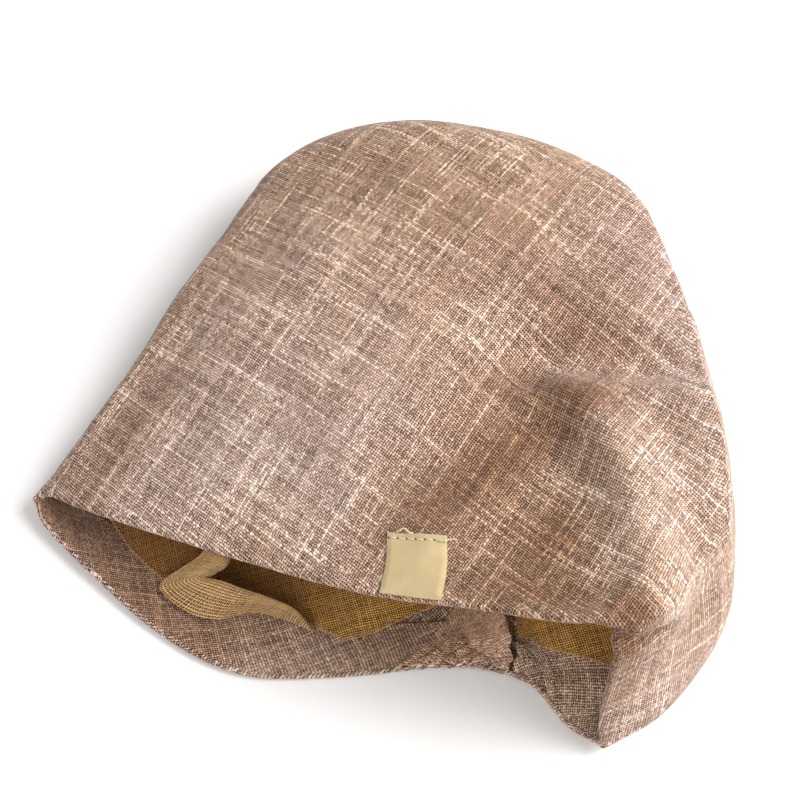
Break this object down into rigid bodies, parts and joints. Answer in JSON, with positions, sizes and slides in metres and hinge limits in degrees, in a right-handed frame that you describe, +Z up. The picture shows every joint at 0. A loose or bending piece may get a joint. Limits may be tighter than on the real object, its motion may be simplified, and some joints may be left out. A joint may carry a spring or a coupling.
{
  "type": "slouchy beanie",
  "caption": "Soft slouchy beanie of slubby woven cloth, lying on its back, with a turned hem facing, a gathered elastic nape, a net lining and a small sewn front label.",
  "frame": {"origin": "middle of the plan, on the surface that the hat lies on", "axes": "+Z up from that surface, +Y from the mouth to the crown, +X towards the puffed side of the mouth"},
  "size_m": [0.2602, 0.263, 0.0646],
  "materials": {
    "slub_cloth": "matt mauve taupe plain weave with pale slubs",
    "net": "fine golden tan net",
    "label_tape": "smooth cream woven tape"
  },
  "bodies": {
    "root": {"crown_shell": "slub_cloth", "hem_facing": "slub_cloth", "nape_casing": "slub_cloth", "net_lining": "net", "front_label": "label_tape"}
  },
  "joints": []
}
